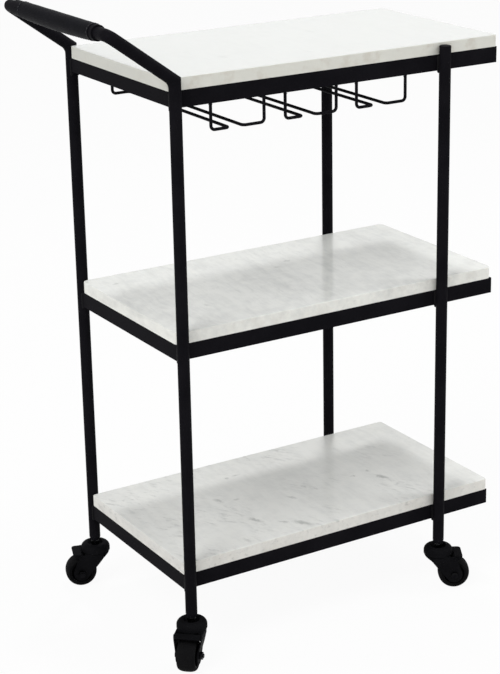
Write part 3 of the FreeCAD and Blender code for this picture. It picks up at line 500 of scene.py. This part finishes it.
def makeGrip():
    look = gripLook
    form = bmesh.new()
    turns = [math.tau * i / look["around"] for i in range(look["around"])]
    middleStart = gripLow.y + look["endReach"]
    middleLength = gripHigh.y - look["endReach"] - middleStart
    stations = [gripLow.y + step * mm for step in look["endSteps"]]
    stations += [middleStart + middleLength * i / look["along"] for i in range(look["along"] + 1)]
    stations += [gripHigh.y - step * mm for step in reversed(look["endSteps"])]
    inner = sleeveRadius + look["lining"]
    rings = [[gripPoint(turn, gripLow.y, inner) for turn in turns]]
    rings += [[gripPoint(turn, y, gripSurface(turn, y)) for turn in turns] for y in stations]
    rings.append([gripPoint(turn, gripHigh.y, inner) for turn in turns])
    rows = addRings(form, rings, closeEnds=False)
    for i in range(len(turns)):              # the flesh side, against the sleeve
        j = (i + 1) % len(turns)
        form.faces.new((rows[-1][i], rows[-1][j], rows[0][j], rows[0][i]))
    grip = addPiece("leatherGrip", form, finishes["grip_leather"])
    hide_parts("leather_grip")


stitchLook = {
    "length": 3.4 * mm, "gap": 1.5 * mm, "thread": 0.36 * mm, "seamAway": 2.3 * mm, "inset": 1.5 * mm,
    "hemShare": 0.62, "steps": 8, "sides": 8, "endSwell": 0.06, "rise": 1.5, "sink": 0.9, "endThin": 0.55,
}


def addStitch(form, start, end, outward):    # one stitch that dips into the leather at both ends
    look = stitchLook
    axis = (end - start).normalized()
    across = axis.cross(outward).normalized()
    rings = []
    for i in range(look["steps"] + 1):
        share = i / look["steps"]
        swell = math.sin(math.pi * (look["endSwell"] + (1 - 2 * look["endSwell"]) * share))
        lift = look["thread"] * (look["rise"] * swell - look["sink"])
        reach = look["thread"] * (look["endThin"] + (1 - look["endThin"]) * swell)
        rings.append(ringAround(start.lerp(end, share) + outward * lift, across, outward, reach,
                                look["sides"]))
    addRings(form, rings)


def makeStitches():                          # two rows beside the seam and one round each hem
    look = stitchLook
    hem = gripLook["hem"]
    form = bmesh.new()
    pitch = look["length"] + look["gap"]
    seamTurn = math.radians(gripLook["seamTurn"])
    first = gripLow.y + hem + look["inset"]
    count = int((gripHigh.y - gripLow.y - 2 * hem - 2 * look["inset"]) / pitch)
    for side in (-1, 1):
        turn = seamTurn + side * look["seamAway"] / gripRadius
        outward = Vector((math.cos(turn), 0, math.sin(turn)))
        for i in range(count):
            ends = [first + i * pitch, first + i * pitch + look["length"]]
            start, end = [gripPoint(turn, y, gripSurface(turn, y)) for y in ends]
            addStitch(form, start, end, outward)
    count = int(math.tau * gripRadius / pitch)
    for y in (gripLow.y + hem * look["hemShare"], gripHigh.y - hem * look["hemShare"]):
        for i in range(count):
            turns = [math.tau * (i + share) / count for share in (0.0, look["length"] / pitch)]
            start, end = [gripPoint(turn, y, gripSurface(turn, y)) for turn in turns]
            middle = sum(turns) / 2
            addStitch(form, start, end, Vector((math.cos(middle), 0, math.sin(middle))))
    addPiece("gripStitches", form, waxedThread)


makeGrip()
makeStitches()
print("leather grip sewn")


# Tyres with round shoulders, in the place of the plain ones

tyreLook = {"around": 96, "steps": 12, "shoulderWide": 11.0 * mm, "shoulderDeep": 4.9 * mm,
            "crown": 0.10 * mm, "weld": 0.001 * mm}


def makeTyre(corner):
    look = tyreLook
    name = "tyre_" + corner
    axle = joints["wheel_" + corner]
    centre = Vector(axle["pos_m"])
    axis = Vector(axle["axis"]).normalized()
    reaches = [v.co - centre for v in nodes[name].data.vertices]
    halfWidth = max(reach.dot(axis) for reach in reaches)
    radii = [(reach - axis * reach.dot(axis)).length for reach in reaches]
    outer, bore = max(radii), min(radii)
    flat = halfWidth - look["shoulderWide"]
    half = []
    for i in range(look["steps"] + 1):       # from the middle of the tread to the shoulder
        share = i / look["steps"]
        half.append((flat * share, outer - look["crown"] * share ** 2))
    for i in range(1, look["steps"] + 1):    # round the shoulder
        turn = math.pi / 2 * i / look["steps"]
        half.append((flat + look["shoulderWide"] * math.sin(turn),
                     outer - look["crown"] - look["shoulderDeep"] * (1 - math.cos(turn))))
    half.append((halfWidth, bore))
    profile = [(-along, radius) for along, radius in reversed(half)] + half[1:]
    across = axis.orthogonal().normalized()
    upright = axis.cross(across)
    rings = []
    for i in range(look["around"] + 1):
        turn = math.tau * i / look["around"]
        outward = across * math.cos(turn) + upright * math.sin(turn)
        rings.append([centre + axis * along + outward * radius for along, radius in profile])
    form = bmesh.new()
    addRings(form, rings, closeEnds=False)
    bmesh.ops.remove_doubles(form, verts=form.verts, dist=look["weld"])
    tyre = addPiece("tyreRound_" + corner, form, finishes["tyre_rubber"],
                    "wheel_" + corner)
    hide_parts(name)


for corner in corners:
    makeTyre(corner)
print("tyres rounded")


# Front web of each pressed fork, between its cheeks and clear of the tyre

webLook = {
    "thick": 0.9 * mm, "inwardTrail": 0.79, "inwardUp": 0.61, "columns": 4,
    "upperHalf": 19.6 * mm, "lowerHalf": 15.2 * mm, "upperAt": 50 * mm, "lowerAt": 30 * mm,
    "path": [(-13.4, 56.2), (-13.4, 54.0), (-13.2, 52.4), (-11.2, 50.7), (-8.9, 48.3),   # trail, height
             (-6.6, 45.4), (-4.4, 42.6), (-2.0, 39.5), (1.2, 35.4)],
}


def makeForkWeb(corner):
    look = webLook
    columns = look["columns"]
    pivot = Vector(joints["swivel_" + corner]["pos_m"])
    axle = Vector(joints["wheel_" + corner]["pos_m"])
    trail = Vector((axle.x - pivot.x, axle.y - pivot.y, 0)).normalized()
    across = Vector(joints["wheel_" + corner]["axis"]).normalized()
    up = Vector((0, 0, 1))
    inward = (look["inwardTrail"] * trail + look["inwardUp"] * up) * look["thick"]
    rings = []
    for reach, height in look["path"]:
        share = (height * mm - look["lowerAt"]) / (look["upperAt"] - look["lowerAt"])
        share = min(1.0, max(0.0, share))
        half = look["lowerHalf"] + share * (look["upperHalf"] - look["lowerHalf"])
        middle = Vector((pivot.x, pivot.y, 0)) + trail * reach * mm + up * height * mm
        outside = [middle + across * half * k / columns for k in range(-columns, columns + 1)]
        rings.append(outside + [point + inward for point in reversed(outside)])
    form = bmesh.new()
    addRings(form, rings)
    addPiece("forkWeb_" + corner, form, finishes["caster_paint"], "fork_" + corner)


for corner in corners:
    makeForkWeb(corner)
print("fork webs made")


# Weld beads where the legs meet the rails

beadLook = {
    "radius": 2.4 * mm, "flatten": 0.8, "sides": 12, "ringGap": 0.35 * mm, "fewestRings": 6,
    "ripple": 2.1 * mm, "rippleDepth": 0.20, "endTaper": 0.02, "wander": 0.12, "wanderScale": 180,
    "placeScale": 40, "legOffset": 6.4 * mm, "railInset": 0.6 * mm, "seat": 1.3 * mm,
    "overrun": 3.5 * mm, "topGap": 1.2 * mm,
}


def addBead(form, start, end, outward):
    look = beadLook
    radius = look["radius"]
    axis = (end - start).normalized()
    across = axis.cross(outward).normalized()
    length = (end - start).length
    count = max(look["fewestRings"], int(length / look["ringGap"]))
    rings = []
    for i in range(count + 1):
        travel = length * i / count
        phase = (travel / look["ripple"]) % 1
        taper = max(look["endTaper"], min(travel, length - travel) / radius)
        reach = radius * min(1.0, math.sqrt(taper)) * (1 - look["rippleDepth"] * phase)
        seed = Vector((travel * look["wanderScale"], start.x * look["placeScale"],
                       start.z * look["placeScale"]))
        wander = look["wander"] * radius * noise.noise(seed)
        centre = start + axis * travel + across * wander
        rings.append(ringAround(centre, across, outward, reach, look["sides"], look["flatten"]))
    addRings(form, rings)


def makeLegWelds():
    look = beadLook
    form = bmesh.new()
    for corner in corners:
        low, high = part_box(corner + "_leg")
        axisX = (low.x + high.x) / 2
        face = "front" if "front" in corner else "back"
        outward = Vector((0, -1 if face == "front" else 1, 0))
        for tier in tiers:
            railLow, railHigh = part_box(tier + "_" + face + "_rail")
            railFace = railLow.y if face == "front" else railHigh.y
            for side in (-1, 1):
                x = max(axisX + side * look["legOffset"], railLow.x + look["railInset"])
                y = railFace + outward.y * look["seat"]
                start = Vector((x, y, railLow.z - look["overrun"]))
                end = Vector((x, y, railHigh.z - look["topGap"]))
                addBead(form, start, end, outward)
    addPiece("legWelds", form, weldPaint)


# Weld beads where the stemware wires meet the rails

wireWeldLook = {
    "wires": 6, "reach": 3.1 * mm, "height": 2.6 * mm, "steps": 8, "sides": 16, "startSwell": 0.22,
    "swell": 0.66, "fullness": 0.8, "narrow": 0.62, "lumps": 3, "lumpDepth": 0.10, "topBand": 0.01 * mm,
}


def makeWireWelds():
    look = wireWeldLook
    form = bmesh.new()
    turns = [math.tau * k / look["sides"] for k in range(look["sides"])]
    for index in range(1, look["wires"] + 1):
        name = "stem_wire_%d" % index
        low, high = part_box(name)
        tops = [v.co for v in nodes[name].data.vertices if v.co.z > high.z - look["topBand"]]
        lumps = [1 + look["lumpDepth"] * math.sin(look["lumps"] * turn + index) for turn in turns]
        for inFront in (True, False):
            ends = [co for co in tops if (co.y < 0) == inFront]
            centre = sum(ends, Vector()) / len(ends)
            rings = []
            for i in range(look["steps"] + 1):
                share = i / look["steps"]
                swell = math.sin(math.pi * (look["startSwell"] + look["swell"] * share))
                reach = look["reach"] * swell ** look["fullness"]
                z = centre.z - look["height"] * (1 - share)
                rings.append([Vector((centre.x + reach * math.cos(turn) * lump,
                                      centre.y + look["narrow"] * reach * math.sin(turn), z))
                              for turn, lump in zip(turns, lumps)])
            addRings(form, rings)
    addPiece("wireWelds", form, weldPaint)


# Filled inner corners where the handle's arms leave the left legs

kinkLook = {
    "reach": 8.0 * mm, "turn": 80, "steps": 16, "fade": 0.7, "curveSteps": 8, "bury": 0.4 * mm,
    "root": 1.2 * mm, "firstSlope": 0.5, "rounds": 20,
}


def makeKinkFillets():
    look = kinkLook
    form = bmesh.new()
    for corner in ("front_left", "back_left"):
        low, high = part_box(corner + "_leg")
        radius = (high.x - low.x) / 2
        legX, legY = (low.x + high.x) / 2, (low.y + high.y) / 2
        slope = look["firstSlope"]
        for attempt in range(look["rounds"]):   # settles the mitre's slope and the kink's height together
            kinkZ = high.z - radius * slope
            arm = Vector((barX - legX, 0, barZ - kinkZ)).normalized()
            slope = (1 - arm.z) / -arm.x
        rings = []
        for i in range(2 * look["steps"] + 1):
            turn = math.radians(look["turn"]) * (i / look["steps"] - 1)
            reach = look["reach"] * math.cos(turn) ** look["fade"]
            outward = Vector((-math.cos(turn), math.sin(turn), 0))
            meet = Vector((legX, legY, kinkZ - slope * radius * math.cos(turn))) + outward * radius
            onLeg = meet - Vector((0, 0, reach))
            onArm = meet + arm * reach
            ring = []
            for step in range(look["curveSteps"] + 1):
                share = step / look["curveSteps"]
                point = onLeg.lerp(meet, share).lerp(meet.lerp(onArm, share), share)
                ring.append(point - outward * look["bury"] * abs(2 * share - 1))
            rings.append(ring + [meet - outward * look["root"]])
        addRings(form, rings)
    addPiece("kinkFillets", form, finishes["frame_paint"])


makeLegWelds()
makeWireWelds()
makeKinkFillets()
print("weld beads laid")


# Stage, lamps and camera

stageLook = {
    "floorSize": 14.0, "floorColour": (0.84, 0.84, 0.84, 1), "paperScale": 300, "paperRoughness": 0.5,
    "paperSpread": 0.2, "white": (1.0, 1.0, 1.0, 1), "floorGlow": 1.0, "shadowShare": 0.06,
    "backdrop": 0.985, "zenith": 0.10, "horizon": 0.96, "wallTop": 0.45, "ceiling": 0.82,
}


def seenDirectly(finish):                    # 1 for camera, glossy and transmitted rays
    camera = finish.node("LightPath", output="Is Camera Ray")
    glossy = finish.node("LightPath", output="Is Glossy Ray")
    through = finish.node("LightPath", output="Is Transmission Ray")
    return camera.by("ADD", camera + glossy, through, clamp=True)


def makeFloor():
    half = stageLook["floorSize"] / 2
    mesh = bpy.data.meshes.new("floor")
    square = [(-half, -half, 0), (half, -half, 0), (half, half, 0), (-half, half, 0)]
    mesh.from_pydata(square, [], [(0, 1, 2, 3)])
    floor = bpy.data.objects.new("floor", mesh)
    bpy.context.scene.collection.objects.link(floor)
    finish = newFinish("floorPaper")
    grain = finish.cloud(finish.place(), stageLook["paperScale"], 2)
    paper = finish.node("BsdfDiffuse", inputs={
        "Color": stageLook["floorColour"],
        "Roughness": stageLook["paperRoughness"] + grain * stageLook["paperSpread"]})
    glow = finish.node("Emission", inputs={
        "Color": stageLook["white"], "Strength": stageLook["floorGlow"]})
    finish.show(finish.node("MixShader", inputs={
        0: seenDirectly(finish) * (1 - stageLook["shadowShare"]), 1: paper, 2: glow}))
    mesh.materials.append(finish.owner)


def makeWorld():                             # soft light from the walls, and a dimmer ceiling
    world = bpy.data.worlds.new("studio")
    bpy.context.scene.world = world
    finish = Finish(world)
    upward = finish.along(finish.node("TexCoord", output="Generated"), (0, 0, 1))
    overhead = upward.step(stageLook["wallTop"], stageLook["ceiling"])
    soft = stageLook["horizon"] - overhead * (stageLook["horizon"] - stageLook["zenith"])
    finish.show(finish.node("Background", inputs={
        "Color": stageLook["white"],
        "Strength": soft + seenDirectly(finish) * (stageLook["backdrop"] - soft)}))


lamps = {
    "keyLamp": {"at": (0.67, 0.78, 3.10), "aim": (0.05, 0.0, 0.5), "size": 0.28, "power": 23},
    "fillLamp": {"at": (-2.0, -0.85, 2.95), "aim": (0.0, 0.0, 0.5), "size": 1.6, "power": 43},
    "sideLamp": {"at": (2.2, -0.9, 2.45), "aim": (0.1, 0.0, 0.5), "size": 1.3, "power": 27},
}


def makeLamps():
    for name, look in lamps.items():
        data = bpy.data.lights.new(name, "AREA")
        data.shape = "DISK"
        data.size = look["size"]
        data.energy = look["power"]
        lamp = bpy.data.objects.new(name, data)
        lamp.location = look["at"]
        aim = Vector(look["aim"]) - Vector(look["at"])
        lamp.rotation_euler = aim.to_track_quat("-Z", "Y").to_euler()
        bpy.context.scene.collection.objects.link(lamp)


view = {"at": (-1.42085, -2.3446, 1.3850), "forward": (0.49635, 0.80780, -0.31796),
        "right": (0.84926, -0.52775, -0.01507), "sensor": 36, "lens": 100.36,
        "shiftX": -0.0313, "shiftY": -0.0395}


def makeCamera():
    data = bpy.data.cameras.new("photoCamera")
    data.sensor_fit = "AUTO"
    data.sensor_width = view["sensor"]
    data.lens = view["lens"]
    data.shift_x, data.shift_y = view["shiftX"], view["shiftY"]
    forward = Vector(view["forward"]).normalized()
    right = Vector(view["right"])
    right = (right - forward * right.dot(forward)).normalized()
    up = right.cross(forward)
    turned = Matrix((right, up, -forward)).transposed()
    camera = bpy.data.objects.new("photoCamera", data)
    camera.matrix_world = Matrix.Translation(view["at"]) @ turned.to_4x4()
    bpy.context.scene.collection.objects.link(camera)
    bpy.context.scene.camera = camera


makeFloor()
makeWorld()
makeLamps()
makeCamera()
bpy.context.scene.view_settings.view_transform = "Standard"
print("stage, lamps and camera set")
